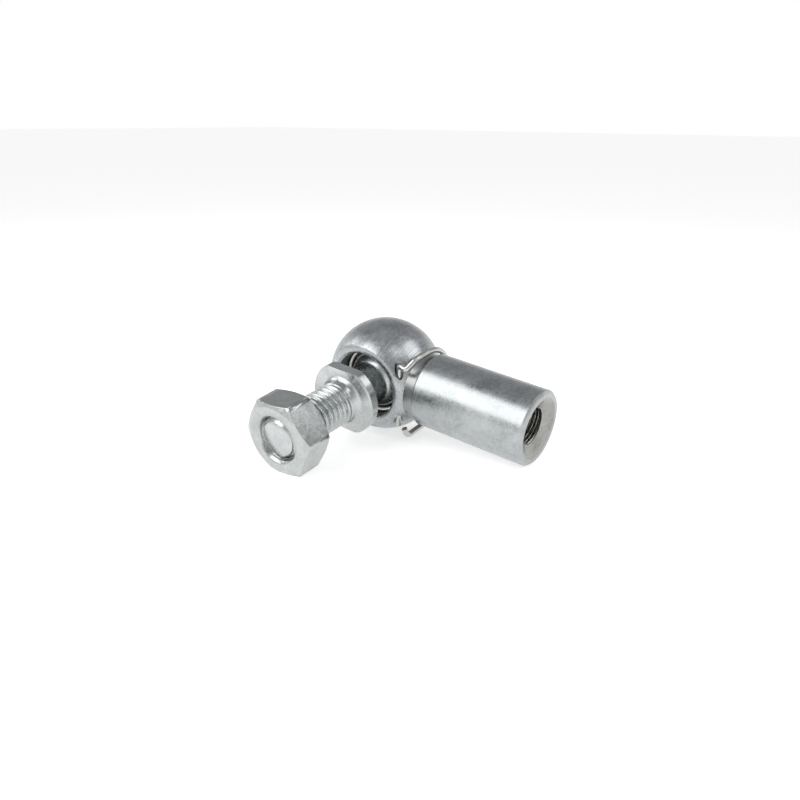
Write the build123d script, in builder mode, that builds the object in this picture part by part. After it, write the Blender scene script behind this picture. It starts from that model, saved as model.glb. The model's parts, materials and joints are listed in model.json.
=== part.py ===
from build123d import *

import math
import os

# Angle ball joint: a ball stud that swivels in a socket whose threaded shank stands square to it.
# Millimetres, +Z up.  The joint lies on a level surface on three points: the underside of the
# socket's head, the lower rim of the shank's end and one flat of the nut.  The origin is on that
# surface, under the middle of the joint.

# ---- driving dimensions -------------------------------------------------------------------------

# ball stud
ball_diameter = 13.0
neck_diameter = 7.6
neck_fillet = 1.2
bearing_face_distance = 13.3  # ball centre to the face that the lever is clamped against
collar_thickness = 2.1
collar_diameter = 13.8
collar_flats = 12.0
collar_edge = 0.25
boss_diameter = 9.6
boss_height = 0.9
stud_thread_diameter = 8.0
stud_length = 17.1  # bearing face to the stud's end
stud_end_chamfer = 1.0

# hexagon nut
nut_flats = 13.0
nut_thickness = 6.5
nut_face_diameter = 11.6
nut_chamfer_angle = 30.0
nut_countersink_diameter = 9.4
nut_projection = 0.4  # how far the nut's outer face stands beyond the stud's end
nut_thread_clearance = 0.05

# socket
head_diameter = 21.6
pole_flat_distance = 9.4  # ball centre to the flat that ends the head
mouth_distance = 7.1  # ball centre to the faced rim of the mouth
mouth_chamfer = 0.45
ball_clearance = 0.1
shank_diameter = 14.0
shank_length = 33.4  # ball centre to the shank's end
shank_shoulder_distance = 10.8  # ball centre to the start of the full shank
shank_edge = 0.45
neck_groove_diameter = 12.8
neck_groove_edge = 0.3
shank_thread_minor_diameter = 6.8
shank_hole_depth = 20.0
shank_countersink_diameter = 11.4
shank_countersink_depth = 1.3
drill_point_angle = 118.0

# retaining ring in the socket's bore
ring_wire_diameter = 1.0
ring_distance = 3.3  # ball centre to the plane of the ring
ring_mean_diameter = 12.7
ring_gap_angle = 24.0
ring_groove_clearance = 0.1

# safety clip of spring wire
clip_wire_diameter = 1.1
clip_hole_diameter = 1.7
clip_leg_offset = 7.3  # from the bore's axis towards the shank
clip_leg_distance = 5.7  # from the ball's centre towards the mouth
clip_leg_height = 6.4  # shank's axis to either end of the leg
clip_dip_offset = 8.9  # lowest point between leg and bow: from the bore's axis towards the shank
clip_dip_distance = 6.0
clip_dip_height = 5.9
clip_bow_height = 7.6  # shank's axis to the wire that crosses over and under the neck
clip_bow_start = 4.0  # where the bow starts over the neck, towards the mouth
clip_seat_clearance = 0.03
clip_leg_bend_radius = 0.62
clip_bend_radius = 1.1
clip_corner_radius = 1.5
clip_hook_reach = 6.2  # shank's axis to the hook's bend, towards the mouth
clip_hook_rise = 1.6
clip_hook_lean = 0.4

# ---- how the joint lies -------------------------------------------------------------------------

ball_radius = ball_diameter / 2
head_radius = head_diameter / 2
shank_radius = shank_diameter / 2
collar_radius = collar_diameter / 2
stud_radius = stud_thread_diameter / 2
stud_end_distance = bearing_face_distance + stud_length
nut_outer_distance = stud_end_distance + nut_projection
nut_inner_distance = nut_outer_distance - nut_thickness
nut_chamfer_slope = math.tan(math.radians(nut_chamfer_angle))
nut_apothem = nut_flats / 2
nut_face_radius = nut_face_diameter / 2


def slope_to_rest(distance, drop):
    """Angle at which an axis through the head's centre slopes down until a point rests.

    The point lies the given distance along the axis and the given drop below it, and the head
    rests on the same level surface.
    """
    return math.asin(head_radius / math.hypot(distance, drop)) - math.atan2(drop, distance)


nut_flat_end = nut_outer_distance - max(0.0, nut_apothem - nut_face_radius) * nut_chamfer_slope
shank_slope = slope_to_rest(shank_length - shank_edge, shank_radius)
stud_slope = slope_to_rest(nut_flat_end, nut_apothem)

# Three directions square to each other: along the shank, out of the socket's back, and upwards.
shank_direction = Vector(math.cos(shank_slope), 0, -math.sin(shank_slope))
back_x = math.tan(shank_slope) * math.sin(stud_slope)
back_z = math.sin(stud_slope)
back_direction = Vector(back_x, math.sqrt(1 - back_x**2 - back_z**2), back_z)
upper_direction = shank_direction.cross(back_direction)
stud_direction = back_direction * -1

# The ball's centre stands over the origin so that the whole joint is centred on it.
pole_flat_radius = math.sqrt(head_radius**2 - pole_flat_distance**2)
reach_left = pole_flat_distance * math.cos(shank_slope) + pole_flat_radius * math.sin(shank_slope)
reach_right = shank_length * math.cos(shank_slope)
reach_right += (shank_radius - shank_edge) * math.sin(shank_slope)
reach_front = nut_outer_distance * -stud_direction.Y + nut_face_radius * math.sin(stud_slope)
ball_centre = Vector((reach_left - reach_right) / 2, (reach_front - head_radius) / 2, head_radius)

# The shank's axis and the stud's axis both lie in this plane, which also halves the joint.
axes_plane = Plane(origin=ball_centre, x_dir=shank_direction, z_dir=upper_direction)
shank_axis = Axis(ball_centre, shank_direction)
stud_axis = Axis(ball_centre, stud_direction)


def plane_across_stud(distance, x_direction=shank_direction):
    """Plane square to the stud, the given distance from the ball's centre."""
    origin = ball_centre + stud_direction * distance
    return Plane(origin=origin, x_dir=x_direction, z_dir=stud_direction)


# ---- ball socket --------------------------------------------------------------------------------

bore_radius = ball_radius + ball_clearance
neck_groove_radius = neck_groove_diameter / 2
ring_groove_radius = (ring_mean_diameter + ring_wire_diameter) / 2 + ring_groove_clearance
ring_groove_half_width = ring_wire_diameter / 2 + ring_groove_clearance
shank_hole_radius = shank_thread_minor_diameter / 2
shank_hole_end = shank_length - shank_hole_depth
drill_point = shank_hole_radius / math.tan(math.radians(drill_point_angle / 2))
mouth_rim_radius = math.sqrt(head_radius**2 - mouth_distance**2)
pole_angle = 180 - math.degrees(math.acos(pole_flat_distance / head_radius))
neck_angle = math.degrees(math.asin(neck_groove_radius / head_radius))

with BuildPart() as ball_socket:
    with BuildSketch(axes_plane):
        with BuildLine():
            head_arc = CenterArc((0, 0), head_radius, pole_angle, neck_angle - pole_angle)
            Polyline(
                head_arc @ 1,
                (shank_shoulder_distance, neck_groove_radius),
                (shank_shoulder_distance, shank_radius - neck_groove_edge),
                (shank_shoulder_distance + neck_groove_edge, shank_radius),
                (shank_length - shank_edge, shank_radius),
                (shank_length, shank_radius - shank_edge),
                (shank_length, 0),
                (-pole_flat_distance, 0),
                head_arc @ 0,
            )
        make_face()
    revolve(axis=shank_axis)
    # ball seat, bore, groove of the retaining ring, and the faced and chamfered mouth
    with BuildSketch(axes_plane):
        with BuildLine():
            CenterArc((0, 0), bore_radius, 0, 90)
            Polyline(
                (bore_radius, 0),
                (bore_radius, -ring_distance + ring_groove_half_width),
                (ring_groove_radius, -ring_distance + ring_groove_half_width),
                (ring_groove_radius, -ring_distance - ring_groove_half_width),
                (bore_radius, -ring_distance - ring_groove_half_width),
                (bore_radius, -mouth_distance + mouth_chamfer),
                (bore_radius + mouth_chamfer, -mouth_distance),
                (mouth_rim_radius + mouth_chamfer, -mouth_distance),
                (mouth_rim_radius + mouth_chamfer, -head_diameter),
                (0, -head_diameter),
                (0, bore_radius),
            )
        make_face()
    revolve(axis=stud_axis, mode=Mode.SUBTRACT)
    # threaded hole in the shank, with its wide countersink
    with BuildSketch(axes_plane):
        with BuildLine():
            Polyline(
                (shank_length, 0),
                (shank_length, shank_countersink_diameter / 2),
                (shank_length - shank_countersink_depth, shank_hole_radius),
                (shank_hole_end, shank_hole_radius),
                (shank_hole_end - drill_point, 0),
                close=True,
            )
        make_face()
    revolve(axis=shank_axis, mode=Mode.SUBTRACT)
    # hole of the safety clip's leg, right through the head beside the mouth
    with BuildSketch(axes_plane):
        with Locations((clip_leg_offset, -clip_leg_distance)):
            Circle(clip_hole_diameter / 2)
    extrude(amount=head_radius, both=True, mode=Mode.SUBTRACT)

ball_socket.part.label = "ball_socket"

# ---- ball stud ----------------------------------------------------------------------------------

neck_radius = neck_diameter / 2
collar_back_distance = bearing_face_distance - collar_thickness
boss_radius = boss_diameter / 2
ball_neck_angle = math.degrees(math.acos(neck_radius / ball_radius))

with BuildPart() as ball_stud:
    with BuildSketch(axes_plane):
        with BuildLine():
            ball_arc = CenterArc((0, 0), ball_radius, -ball_neck_angle, 90 + ball_neck_angle)
            neck_line = Line(ball_arc @ 0, (neck_radius, -collar_back_distance + neck_fillet))
            neck_end = JernArc(neck_line @ 1, (0, -1), neck_fillet, 90)
            Polyline(
                neck_end @ 1,
                (collar_radius - collar_edge, -collar_back_distance),
                (collar_radius, -collar_back_distance - collar_edge),
                (collar_radius, -bearing_face_distance + collar_edge),
                (collar_radius - collar_edge, -bearing_face_distance),
                (boss_radius, -bearing_face_distance),
                (stud_radius, -bearing_face_distance - boss_height),
                (stud_radius, -stud_end_distance + stud_end_chamfer),
                (stud_radius - stud_end_chamfer, -stud_end_distance),
                (0, -stud_end_distance),
                (0, ball_radius),
            )
        make_face()
    revolve(axis=stud_axis)
    # two flats on the collar for a spanner
    with BuildSketch(plane_across_stud(collar_back_distance)):
        cut_width = (collar_diameter - collar_flats) / 2 + collar_edge
        with GridLocations(0, collar_flats + cut_width, 1, 2):
            Rectangle(collar_diameter, cut_width)
    extrude(amount=collar_thickness, mode=Mode.SUBTRACT)

ball_stud.part.label = "ball_stud"

# ---- hexagon nut --------------------------------------------------------------------------------

nut_bore_radius = stud_radius + nut_thread_clearance
nut_countersink_radius = nut_countersink_diameter / 2
nut_countersink_depth = nut_countersink_radius - nut_bore_radius
nut_corner_radius = nut_apothem / math.cos(math.radians(30))
nut_corner_drop = (nut_corner_radius - nut_face_radius) * nut_chamfer_slope
level_across_stud = Vector(0, 0, 1).cross(stud_direction).normalized()

with BuildPart() as hex_nut:
    # one flat lies level underneath
    with BuildSketch(plane_across_stud(nut_inner_distance, level_across_stud)):
        RegularPolygon(nut_apothem, 6, major_radius=False)
    extrude(amount=nut_thickness)
    # both faces chamfered across the corners
    with BuildSketch(axes_plane):
        with BuildLine():
            Polyline(
                (0, -nut_inner_distance),
                (nut_face_radius, -nut_inner_distance),
                (nut_corner_radius, -nut_inner_distance - nut_corner_drop),
                (nut_corner_radius, -nut_outer_distance + nut_corner_drop),
                (nut_face_radius, -nut_outer_distance),
                (0, -nut_outer_distance),
                close=True,
            )
        make_face()
    revolve(axis=stud_axis, mode=Mode.INTERSECT)
    # threaded bore, countersunk from both faces
    with BuildSketch(axes_plane):
        with BuildLine():
            Polyline(
                (0, -nut_inner_distance),
                (nut_countersink_radius, -nut_inner_distance),
                (nut_bore_radius, -nut_inner_distance - nut_countersink_depth),
                (nut_bore_radius, -nut_outer_distance + nut_countersink_depth),
                (nut_countersink_radius, -nut_outer_distance),
                (0, -nut_outer_distance),
                close=True,
            )
        make_face()
    revolve(axis=stud_axis, mode=Mode.SUBTRACT)

hex_nut.part.label = "hex_nut"

# ---- retaining ring -----------------------------------------------------------------------------

ring_mean_radius = ring_mean_diameter / 2

with BuildPart() as retaining_ring:
    # an open ring of round wire, with its gap at the back of the shank side
    with BuildLine(plane_across_stud(ring_distance)):
        ring_path = CenterArc(
            (0, 0), ring_mean_radius, ring_gap_angle / 2, 360 - ring_gap_angle
        )
    with BuildSketch(Plane(origin=ring_path @ 0, z_dir=ring_path % 0)):
        Circle(ring_wire_diameter / 2)
    sweep(path=ring_path)

retaining_ring.part.label = "retaining_ring"

# ---- safety clip --------------------------------------------------------------------------------

clip_wire_radius = clip_wire_diameter / 2
clip_bow_plane = (math.sqrt(head_radius**2 - neck_groove_radius**2) + shank_shoulder_distance) / 2
clip_back = neck_groove_radius + clip_seat_clearance + clip_wire_radius
clip_bow_radius = clip_bow_height - clip_wire_radius / 2

with BuildPart() as safety_clip:
    # up through the head, over the neck, round its back, under it, and into a finger hook
    with BuildLine(axes_plane):
        clip_path = FilletPolyline(
            (clip_leg_offset, -clip_leg_distance, -clip_leg_height),
            (clip_leg_offset, -clip_leg_distance, clip_leg_height),
            (clip_dip_offset, -clip_dip_distance, clip_dip_height),
            (clip_bow_plane, -clip_bow_start, clip_bow_height),
            (clip_bow_plane, clip_back, clip_bow_height),
            (clip_bow_plane, clip_back, -clip_bow_height),
            (clip_bow_plane, -clip_hook_reach, -clip_bow_height),
            (
                clip_bow_plane - clip_hook_lean,
                -clip_hook_reach - clip_hook_lean,
                -clip_bow_height + clip_hook_rise,
            ),
            radius=[
                clip_leg_bend_radius,
                clip_leg_bend_radius,
                clip_corner_radius,
                clip_bow_radius,
                clip_bow_radius,
                clip_bend_radius,
            ],
        )
    with BuildSketch(Plane(origin=clip_path @ 0, z_dir=clip_path % 0)):
        Circle(clip_wire_radius)
    sweep(path=clip_path)

safety_clip.part.label = "safety_clip"

# ---- export -------------------------------------------------------------------------------------

os.makedirs("parts", exist_ok=True)
export_step(ball_socket.part, "parts/ball_socket.step")
export_step(ball_stud.part, "parts/ball_stud.step")
export_step(hex_nut.part, "parts/hex_nut.step")
export_step(retaining_ring.part, "parts/retaining_ring.step")
export_step(safety_clip.part, "parts/safety_clip.step")
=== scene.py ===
"""Looks of the angle ball joint: real threads, zinc-plated steel, spring wire, and a plain pale studio."""
import json
import math

import bmesh
import bpy
from mathutils import Matrix, Vector


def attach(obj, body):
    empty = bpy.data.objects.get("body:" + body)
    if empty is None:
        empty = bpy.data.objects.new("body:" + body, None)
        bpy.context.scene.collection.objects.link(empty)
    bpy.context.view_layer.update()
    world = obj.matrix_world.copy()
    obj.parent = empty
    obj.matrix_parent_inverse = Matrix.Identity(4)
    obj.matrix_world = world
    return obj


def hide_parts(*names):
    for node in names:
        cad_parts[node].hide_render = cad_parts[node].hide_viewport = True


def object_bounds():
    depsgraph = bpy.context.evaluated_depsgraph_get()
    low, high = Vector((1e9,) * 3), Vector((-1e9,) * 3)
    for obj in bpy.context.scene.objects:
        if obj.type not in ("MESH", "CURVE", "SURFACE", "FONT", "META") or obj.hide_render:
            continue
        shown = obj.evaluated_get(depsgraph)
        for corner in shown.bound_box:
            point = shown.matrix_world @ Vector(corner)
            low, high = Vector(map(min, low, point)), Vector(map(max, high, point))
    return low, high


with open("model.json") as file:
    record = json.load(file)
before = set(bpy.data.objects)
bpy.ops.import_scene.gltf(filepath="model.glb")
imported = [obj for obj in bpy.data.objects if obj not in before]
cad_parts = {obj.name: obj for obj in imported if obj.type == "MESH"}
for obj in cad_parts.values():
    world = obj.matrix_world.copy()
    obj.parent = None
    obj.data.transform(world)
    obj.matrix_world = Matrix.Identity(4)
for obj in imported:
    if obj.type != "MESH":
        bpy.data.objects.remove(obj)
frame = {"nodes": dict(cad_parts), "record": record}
cad_low, cad_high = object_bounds()

# ---------------------------------------------------------------- sizes, in metres
# Distances along the stud and the shank are from the ball's centre. They follow the sizes in part.py.
MM = 0.001
PITCH = 1.25 * MM
STUD_MAJOR = 4.0 * MM
STUD_ROOT = 3.34 * MM
NUT_CREST = 3.42 * MM
NUT_ROOT = 4.06 * MM
SHANK_CREST = 3.4 * MM
SHANK_ROOT = 4.04 * MM
THREAD_START = 14.9 * MM
STUD_END = 30.4 * MM
SHANK_THREAD_START = 17.0 * MM
SHANK_THREAD_END = 32.1 * MM
NUT_THREAD_START = 25.0 * MM
NUT_THREAD_END = 30.1 * MM
SHOULDER = 10.82 * MM
# The next three sizes bound the painted shade: in the neck, and in the threaded bore with its countersink.
NECK_SHADE_START = 8.6 * MM
NECK_SHADE_REACH = 6.46 * MM
COUNTERSINK_REACH = 5.5 * MM
THREAD_FADE = 1.2 * MM  # one value for stud and nut, so the nut clears the stud's run-out at its inner limit
SHANK_THREAD_FADE = 0.4 * MM
THREAD_OVERRUN = 2 * PITCH
STUD_CUT_CLEARANCE = 0.02 * MM
STUD_CUTTER_RADIUS = 6.0 * MM
NUT_SLEEVE_RADIUS = 4.4 * MM
SHANK_CUT_CLEARANCE = 0.05 * MM
MERGE_DISTANCE = 0.0005 * MM
THREAD_SIDES = 72
ROWS_PER_TURN = 12
CREST_FLAT = 0.14  # shares of half a pitch
FLANK = 0.66
EDGE_ANGLE = math.radians(28)

# ---------------------------------------------------------------- directions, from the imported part
joints = {joint["name"]: joint for joint in frame["record"]["behaviour"]["joints"]}
mounts = {mount["name"]: mount for mount in frame["record"]["mounts"]}
BALL = Vector(joints["stud_tilt"]["pos_m"])
STUD = Vector(joints["ring_turn"]["axis"]).normalized()
SHANK = Vector(mounts["shank_thread"]["axis"]).normalized()


def axes_along(direction, side):
    """A matrix whose Z runs along direction and whose X lies towards side."""
    across = direction.cross(side).normalized()
    level = across.cross(direction).normalized()
    return Matrix((level, across, direction)).transposed().to_4x4()


STUD_AXES = Matrix.Translation(BALL) @ axes_along(STUD, SHANK)
SHANK_AXES = Matrix.Translation(BALL) @ axes_along(SHANK, -STUD)


# ---------------------------------------------------------------- threads
def thread_radius(along, angle, crest, root, start, end, fade):
    """Radius of a V thread with flats at its crest and root; it fades to crest past start and end."""
    turn = (along / PITCH - angle / math.tau) % 1.0
    ramp = abs(turn - 0.5) * 2.0
    depth = min(max((ramp - CREST_FLAT) / FLANK, 0.0), 1.0)
    shallow = min((along - start) / fade, (end - along) / fade)
    return crest + (root - crest) * depth * min(max(shallow, 0.0), 1.0)


def thread_mesh(name, place, start, end, crest, root, outer, fade):
    """A closed mesh with a threaded surface: a rod where outer is 0, and otherwise a tube round it."""
    rows = int(round((end - start) / PITCH * ROWS_PER_TURN))
    step = (end - start) / rows
    mesh = bmesh.new()
    rings = []
    for row in range(rows + 1):
        along = start + row * step
        ring = []
        for column in range(THREAD_SIDES):
            angle = math.tau * column / THREAD_SIDES
            radius = thread_radius(along, angle, crest, root, start, end, fade)
            ring.append(mesh.verts.new((radius * math.cos(angle), radius * math.sin(angle), along)))
        rings.append(ring)
    if outer:
        for along in (end, start):
            rings.append([mesh.verts.new((outer * math.cos(math.tau * column / THREAD_SIDES),
                                          outer * math.sin(math.tau * column / THREAD_SIDES), along))
                          for column in range(THREAD_SIDES)])
        rings.append(rings[0])
    else:
        mesh.faces.new(rings[0])
        mesh.faces.new(rings[-1])
    for low, high in zip(rings, rings[1:]):
        for column in range(THREAD_SIDES):
            after = (column + 1) % THREAD_SIDES
            mesh.faces.new((low[column], low[after], high[after], high[column]))
    bmesh.ops.recalc_face_normals(mesh, faces=mesh.faces)
    data = bpy.data.meshes.new(name)
    mesh.to_mesh(data)
    mesh.free()
    thread = bpy.data.objects.new(name, data)
    bpy.context.scene.collection.objects.link(thread)
    data.transform(place)
    return thread


def threaded_copy(node, name, operation, thread):
    """A copy of a CAD node with the thread's mesh taken out of it, or joined to it."""
    source = frame["nodes"][node]
    mesh = bmesh.new()
    mesh.from_mesh(source.data)
    mesh.transform(source.matrix_world)
    bmesh.ops.remove_doubles(mesh, verts=mesh.verts, dist=MERGE_DISTANCE)
    data = bpy.data.meshes.new(name)
    mesh.to_mesh(data)
    mesh.free()
    piece = bpy.data.objects.new(name, data)
    bpy.context.scene.collection.objects.link(piece)
    modifier = piece.modifiers.new("thread", "BOOLEAN")
    modifier.operation = operation
    modifier.solver = "EXACT"
    modifier.object = thread
    bpy.context.view_layer.update()
    evaluated = piece.evaluated_get(bpy.context.evaluated_depsgraph_get())
    result = bpy.data.meshes.new_from_object(evaluated)
    piece.modifiers.clear()
    piece.data = result
    bpy.data.objects.remove(thread)
    result.shade_smooth()
    result.set_sharp_from_angle(angle=EDGE_ANGLE)
    return piece


stud = threaded_copy("ball_stud", "threaded_stud", "DIFFERENCE", thread_mesh(
    "stud_thread", STUD_AXES, THREAD_START, STUD_END + THREAD_OVERRUN,
    STUD_MAJOR + STUD_CUT_CLEARANCE, STUD_ROOT, STUD_CUTTER_RADIUS, THREAD_FADE))
nut = threaded_copy("hex_nut", "threaded_nut", "UNION", thread_mesh(
    "nut_thread", STUD_AXES, NUT_THREAD_START, NUT_THREAD_END,
    NUT_ROOT, NUT_CREST, NUT_SLEEVE_RADIUS, THREAD_FADE))
socket = threaded_copy("ball_socket", "threaded_socket", "DIFFERENCE", thread_mesh(
    "shank_thread", SHANK_AXES, SHANK_THREAD_START, SHANK_THREAD_END,
    SHANK_CREST - SHANK_CUT_CLEARANCE, SHANK_ROOT, 0.0, SHANK_THREAD_FADE))


# ---------------------------------------------------------------- materials
def noise(tree, vector, scale, detail=3.0, rough=0.5, distortion=0.0):
    node = tree.nodes.new("ShaderNodeTexNoise")
    node.inputs["Scale"].default_value = scale
    node.inputs["Detail"].default_value = detail
    node.inputs["Roughness"].default_value = rough
    node.inputs["Distortion"].default_value = distortion
    tree.links.new(vector, node.inputs["Vector"])
    return node.outputs["Fac"]


def mapped(tree, value, low, high, to_low, to_high):
    node = tree.nodes.new("ShaderNodeMapRange")
    tree.links.new(value, node.inputs["Value"])
    for name, number in (("From Min", low), ("From Max", high), ("To Min", to_low), ("To Max", to_high)):
        node.inputs[name].default_value = number
    return node.outputs["Result"]


def math_node(tree, operation, first, second):
    node = tree.nodes.new("ShaderNodeMath")
    node.operation = operation
    for socket_in, value in zip(node.inputs, (first, second)):
        if isinstance(value, (int, float)):
            socket_in.default_value = value
        else:
            tree.links.new(value, socket_in)
    return node.outputs[0]


def local_vector(tree, axes, stretch):
    """Place on the piece in axes' own directions, stretched so that marks run along or around it."""
    coordinates = tree.nodes.new("ShaderNodeTexCoord")
    mapping = tree.nodes.new("ShaderNodeMapping")
    mapping.vector_type = "POINT"
    turned = axes.inverted()
    mapping.inputs["Rotation"].default_value = turned.to_euler("XYZ")
    mapping.inputs["Location"].default_value = turned.to_translation()
    tree.links.new(coordinates.outputs["Object"], mapping.inputs["Vector"])
    scale = tree.nodes.new("ShaderNodeVectorMath")
    scale.operation = "MULTIPLY"
    scale.inputs[1].default_value = stretch
    tree.links.new(mapping.outputs["Vector"], scale.inputs[0])
    return mapping.outputs["Vector"], scale.outputs["Vector"]


def ring_vector(tree, place, along_scale):
    """Coordinates that only change along Z and with the distance from it: turning marks on a lathe part."""
    split = tree.nodes.new("ShaderNodeSeparateXYZ")
    tree.links.new(place, split.inputs[0])
    squares = math_node(tree, "ADD", math_node(tree, "MULTIPLY", split.outputs[0], split.outputs[0]),
                        math_node(tree, "MULTIPLY", split.outputs[1], split.outputs[1]))
    distance = math_node(tree, "SQRT", squares, 0.0)
    join = tree.nodes.new("ShaderNodeCombineXYZ")
    tree.links.new(math_node(tree, "MULTIPLY", split.outputs[2], along_scale), join.inputs[2])
    tree.links.new(math_node(tree, "MULTIPLY", distance, along_scale), join.inputs[0])
    return join.outputs[0]


# Weights of the marks in zinc_plate, chosen against the photograph.
SCRATCH_STRETCH = (1.0, 1.0, 0.22)
DARKENING = 0.30
CLOUD_IN_TINT = 0.6
SPECKLE_IN_TINT = 0.4
SCRATCH_GRAIN = 0.16
TURNING_GRAIN = 0.03
TURNING_HEIGHT = 0.5
BROAD_TURNING_HEIGHT = 1.1
SPECKLE_HEIGHT = 0.45
CLOUD_HEIGHT = 1.2
SCRATCH_HEIGHT = 0.25
BUMP_STRENGTH = 0.5
BUMP_DISTANCE = 0.03 * MM
EDGE_SAMPLES = 6
EDGE_RADIUS = 0.09 * MM
NUT_EDGE_RADIUS = 0.22 * MM
WIRE_EDGE_RADIUS = 0.02 * MM


def zinc_plate(name, axes, tint, roughness, turning, mottle, edge=EDGE_RADIUS):
    """Bright zinc plating: soft mottling, fine turning marks round axes' Z, scratches and rounded edges."""
    material = bpy.data.materials.new(name)
    material.use_nodes = True
    tree = material.node_tree
    shader = tree.nodes["Principled BSDF"]
    place, stretched = local_vector(tree, axes, SCRATCH_STRETCH)
    marks = noise(tree, ring_vector(tree, place, 1.0), scale=5200.0, detail=4.0, rough=0.7)
    broad_marks = noise(tree, ring_vector(tree, place, 1.0), scale=900.0, detail=2.0, rough=0.5)
    cloud = noise(tree, place, scale=260.0, detail=5.0, rough=0.62, distortion=0.6)
    speckle = noise(tree, place, scale=1900.0, detail=4.0, rough=0.6)
    scratches = noise(tree, stretched, scale=2400.0, detail=2.0, rough=0.45, distortion=1.4)
    scratch_line = mapped(tree, scratches, low=0.62, high=0.76, to_low=0.0, to_high=1.0)
    patch_noise = noise(tree, place, scale=150.0, detail=3.0, rough=0.5, distortion=0.4)
    patches = mapped(tree, patch_noise, low=0.35, high=0.7, to_low=0.0, to_high=1.0)
    ramp = tree.nodes.new("ShaderNodeValToRGB")
    darker = [part * (1.0 - DARKENING * mottle) for part in tint]
    ramp.color_ramp.elements[0].position = 0.30
    ramp.color_ramp.elements[0].color = (*darker, 1.0)
    ramp.color_ramp.elements[1].position = 0.68
    ramp.color_ramp.elements[1].color = (*tint, 1.0)
    tree.links.new(math_node(tree, "ADD", math_node(tree, "MULTIPLY", cloud, CLOUD_IN_TINT),
                             math_node(tree, "MULTIPLY", speckle, SPECKLE_IN_TINT)), ramp.inputs[0])
    tree.links.new(ramp.outputs[0], shader.inputs["Base Color"])
    cloud_grain = mapped(tree, cloud, low=0.3, high=0.7, to_low=roughness - 0.05, to_high=roughness + 0.07)
    scratch_patches = math_node(tree, "MULTIPLY", scratch_line, patches)
    grain = math_node(tree, "ADD", cloud_grain,
                      math_node(tree, "MULTIPLY", scratch_patches, SCRATCH_GRAIN))
    speckle_grain = mapped(tree, speckle, low=0.3, high=0.7, to_low=-0.03, to_high=0.04)
    grain = math_node(tree, "ADD", grain, speckle_grain)
    turning_grain = mapped(tree, marks, low=0.35, high=0.65,
                           to_low=-TURNING_GRAIN * turning, to_high=TURNING_GRAIN * turning)
    grain = math_node(tree, "ADD", grain, turning_grain)
    tree.links.new(grain, shader.inputs["Roughness"])
    shader.inputs["Metallic"].default_value = 1.0
    height = math_node(tree, "ADD", math_node(tree, "MULTIPLY", marks, TURNING_HEIGHT * turning),
                       math_node(tree, "MULTIPLY", broad_marks, BROAD_TURNING_HEIGHT * turning))
    height = math_node(tree, "ADD", height, math_node(tree, "MULTIPLY", speckle, SPECKLE_HEIGHT))
    height = math_node(tree, "ADD", height, math_node(tree, "MULTIPLY", cloud, CLOUD_HEIGHT * mottle))
    height = math_node(tree, "SUBTRACT", height, math_node(tree, "MULTIPLY", scratch_line, SCRATCH_HEIGHT))
    rounded = tree.nodes.new("ShaderNodeBevel")
    rounded.samples = EDGE_SAMPLES
    rounded.inputs["Radius"].default_value = edge
    bump = tree.nodes.new("ShaderNodeBump")
    bump.inputs["Strength"].default_value = BUMP_STRENGTH
    bump.inputs["Distance"].default_value = BUMP_DISTANCE
    tree.links.new(height, bump.inputs["Height"])
    tree.links.new(rounded.outputs["Normal"], bump.inputs["Normal"])
    tree.links.new(bump.outputs["Normal"], shader.inputs["Normal"])
    return material


head_zinc = zinc_plate("head_zinc", SHANK_AXES, tint=(0.55, 0.575, 0.585), roughness=0.27,
                       turning=4.0, mottle=1.7)
shank_zinc = zinc_plate("shank_zinc", SHANK_AXES, tint=(0.51, 0.535, 0.54), roughness=0.28,
                        turning=1.1, mottle=1.4)
# Painted shade: the neck between head and shank gets a darker tint, for the shade in that corner.
neck_zinc_painted_shade = zinc_plate("neck_zinc_painted_shade", SHANK_AXES, tint=(0.44, 0.45, 0.445), roughness=0.32,
                       turning=1.5, mottle=1.4)
# Painted shade: the threaded bore and its countersink get a darker tint, for the shade and dark reflections
# inside them.
bore_zinc_painted_shade = zinc_plate("bore_zinc_painted_shade", SHANK_AXES, tint=(0.43, 0.43, 0.405), roughness=0.24,
                       turning=3.0, mottle=1.6)
stud_zinc = zinc_plate("stud_zinc", STUD_AXES, tint=(0.575, 0.60, 0.595), roughness=0.24,
                       turning=0.9, mottle=0.9)
nut_zinc = zinc_plate("nut_zinc", STUD_AXES, tint=(0.545, 0.57, 0.56), roughness=0.22,
                      turning=0.25, mottle=1.1, edge=NUT_EDGE_RADIUS)
wire_steel = zinc_plate("wire_steel", SHANK_AXES, tint=(0.58, 0.58, 0.555), roughness=0.20,
                        turning=0.2, mottle=0.5, edge=WIRE_EDGE_RADIUS)


def paint(piece, material):
    piece.data.materials.clear()
    piece.data.materials.append(material)


def paint_by_place(piece, axes, materials, choose):
    """Gives each face one of the materials, chosen by how far along and how far from axes' Z it lies."""
    piece.data.materials.clear()
    for material in materials:
        piece.data.materials.append(material)
    into_axes = axes.inverted()
    for face in piece.data.polygons:
        centre = into_axes @ face.center
        face.material_index = choose(centre.z, math.hypot(centre.x, centre.y))


def socket_finish_and_shade(along, distance):
    """0 for the head, 1 for the shank, 2 for the threaded bore with its countersink, darker as painted
    shade, 3 for the neck, darker as painted shade.
    """
    if along < SHOULDER:
        return 3 if along > NECK_SHADE_START and distance < NECK_SHADE_REACH else 0
    return 2 if distance < COUNTERSINK_REACH else 1


for piece, material, node, body, slot in (
        (socket, shank_zinc, "ball_socket", "socket", "zinc_plated_steel"),
        (stud, stud_zinc, "ball_stud", "stud", "zinc_plated_steel"),
        (nut, nut_zinc, "hex_nut", "nut", "zinc_plated_steel")):
    paint(piece, material)
    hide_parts(node)
    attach(piece, body)

paint_by_place(socket, SHANK_AXES, (head_zinc, shank_zinc, bore_zinc_painted_shade, neck_zinc_painted_shade), socket_finish_and_shade)

for node in ("retaining_ring", "safety_clip"):
    wire = frame["nodes"][node]
    for slot in wire.material_slots:
        slot.material = wire_steel


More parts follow.
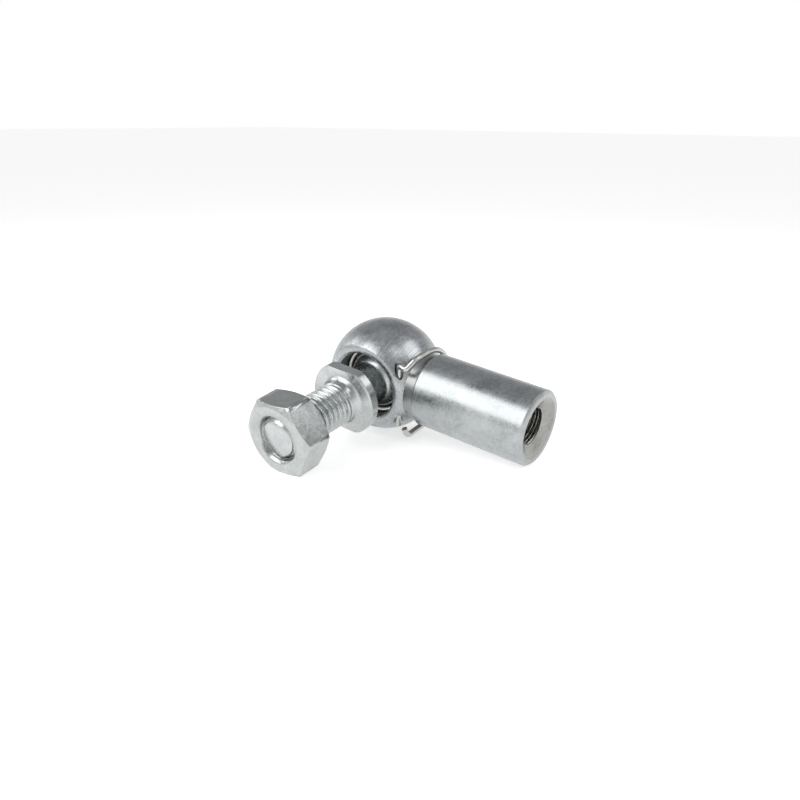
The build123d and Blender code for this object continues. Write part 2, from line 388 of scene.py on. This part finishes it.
# ---------------------------------------------------------------- floor, light and camera
def shown_rays(tree):
    """1 for camera, glossy and transmission rays, and 0 for the diffuse ones that light the part."""
    rays = tree.nodes.new("ShaderNodeLightPath")
    seen = math_node(tree, "MAXIMUM", rays.outputs["Is Camera Ray"], rays.outputs["Is Glossy Ray"])
    return math_node(tree, "MAXIMUM", seen, rays.outputs["Is Transmission Ray"])


FLOOR_SIZE = 6.0
FLOOR_LEVEL = 0.86
FLOOR_ROUGHNESS = 0.9
FLOOR_GLOW = 0.54
bpy.ops.mesh.primitive_plane_add(size=FLOOR_SIZE, location=(0.0, 0.0, cad_low[2]))
floor = bpy.context.object
floor.name = "floor"
floor_material = bpy.data.materials.new("white_floor")
floor_material.use_nodes = True
floor_tree = floor_material.node_tree
floor_shader = floor_tree.nodes["Principled BSDF"]
floor_shader.inputs["Base Color"].default_value = (FLOOR_LEVEL, FLOOR_LEVEL, FLOOR_LEVEL, 1.0)
floor_shader.inputs["Roughness"].default_value = FLOOR_ROUGHNESS
floor_shader.inputs["Emission Color"].default_value = (1.0, 1.0, 1.0, 1.0)
floor_tree.links.new(math_node(floor_tree, "MULTIPLY", shown_rays(floor_tree), FLOOR_GLOW),
                     floor_shader.inputs["Emission Strength"])
paint(floor, floor_material)

# The world is a white backdrop round the horizon that darkens overhead, as a room does.
HORIZON_HEIGHT = 0.14
MIDDLE_HEIGHT = 0.32
OVERHEAD_HEIGHT = 0.80
OVERHEAD_LEVEL = 0.38
MIDDLE_LEVEL = 0.48
OVERHEAD_BLUE = 1.04
MIDDLE_BLUE = 1.02
world = bpy.data.worlds.new("pale_studio")
bpy.context.scene.world = world
world.use_nodes = True
world_tree = world.node_tree
direction = world_tree.nodes.new("ShaderNodeTexCoord")
height = world_tree.nodes.new("ShaderNodeSeparateXYZ")
world_tree.links.new(direction.outputs["Generated"], height.inputs[0])
shade = world_tree.nodes.new("ShaderNodeValToRGB")
shade.color_ramp.interpolation = "LINEAR"
shade.color_ramp.elements[0].position = HORIZON_HEIGHT
shade.color_ramp.elements[0].color = (1.0, 1.0, 1.0, 1.0)
shade.color_ramp.elements[1].position = OVERHEAD_HEIGHT
shade.color_ramp.elements[1].color = (OVERHEAD_LEVEL, OVERHEAD_LEVEL, OVERHEAD_LEVEL * OVERHEAD_BLUE, 1.0)
middle = shade.color_ramp.elements.new(MIDDLE_HEIGHT)
middle.color = (MIDDLE_LEVEL, MIDDLE_LEVEL, MIDDLE_LEVEL * MIDDLE_BLUE, 1.0)
world_tree.links.new(height.outputs[2], shade.inputs[0])
world_tree.links.new(shade.outputs[0], world_tree.nodes["Background"].inputs["Color"])


SOFTBOX_AIM = Vector((0.0, 0.0, 0.01))


def softbox(name, place, width, height, watts):
    light = bpy.data.lights.new(name, "AREA")
    light.shape = "RECTANGLE"
    light.size = width
    light.size_y = height
    light.energy = watts
    lamp = bpy.data.objects.new(name, light)
    bpy.context.scene.collection.objects.link(lamp)
    lamp.location = place
    aim = SOFTBOX_AIM - Vector(place)
    lamp.rotation_euler = aim.to_track_quat("-Z", "Y").to_euler()
    lamp.visible_camera = False


softbox("main_softbox", place=(-0.108, -0.202, 0.205), width=0.22, height=0.26, watts=0.42)
softbox("upper_softbox", place=(0.140, -0.050, 0.260), width=0.09, height=0.08, watts=0.045)
softbox("right_softbox", place=(0.180, 0.110, 0.215), width=0.19, height=0.15, watts=0.15)
softbox("left_softbox", place=(-0.250, -0.050, 0.165), width=0.12, height=0.12, watts=0.09)

# The camera stands where the photograph was taken from.
CAMERA_PLACE = Vector((0.0773, -0.1086, 0.0579))
CAMERA_RIGHT = Vector((0.8089, 0.5879, 0.0068))
CAMERA_FORWARD = Vector((-0.5522, 0.7637, -0.3345))
CAMERA_FOCAL_LENGTH = 36.0
CAMERA_SENSOR_WIDTH = 36.0
CAMERA_NEAREST = 0.005
right = CAMERA_RIGHT.normalized()
forward = (CAMERA_FORWARD - CAMERA_FORWARD.dot(right) * right).normalized()
up = right.cross(forward)
camera_data = bpy.data.cameras.new("camera")
camera_data.lens = CAMERA_FOCAL_LENGTH
camera_data.sensor_width = CAMERA_SENSOR_WIDTH
camera_data.clip_start = CAMERA_NEAREST
camera = bpy.data.objects.new("camera", camera_data)
bpy.context.scene.collection.objects.link(camera)
camera.matrix_world = Matrix.Translation(CAMERA_PLACE) @ Matrix((right, up, -forward)).transposed().to_4x4()
bpy.context.scene.camera = camera
bpy.context.scene.view_settings.view_transform = "Standard"
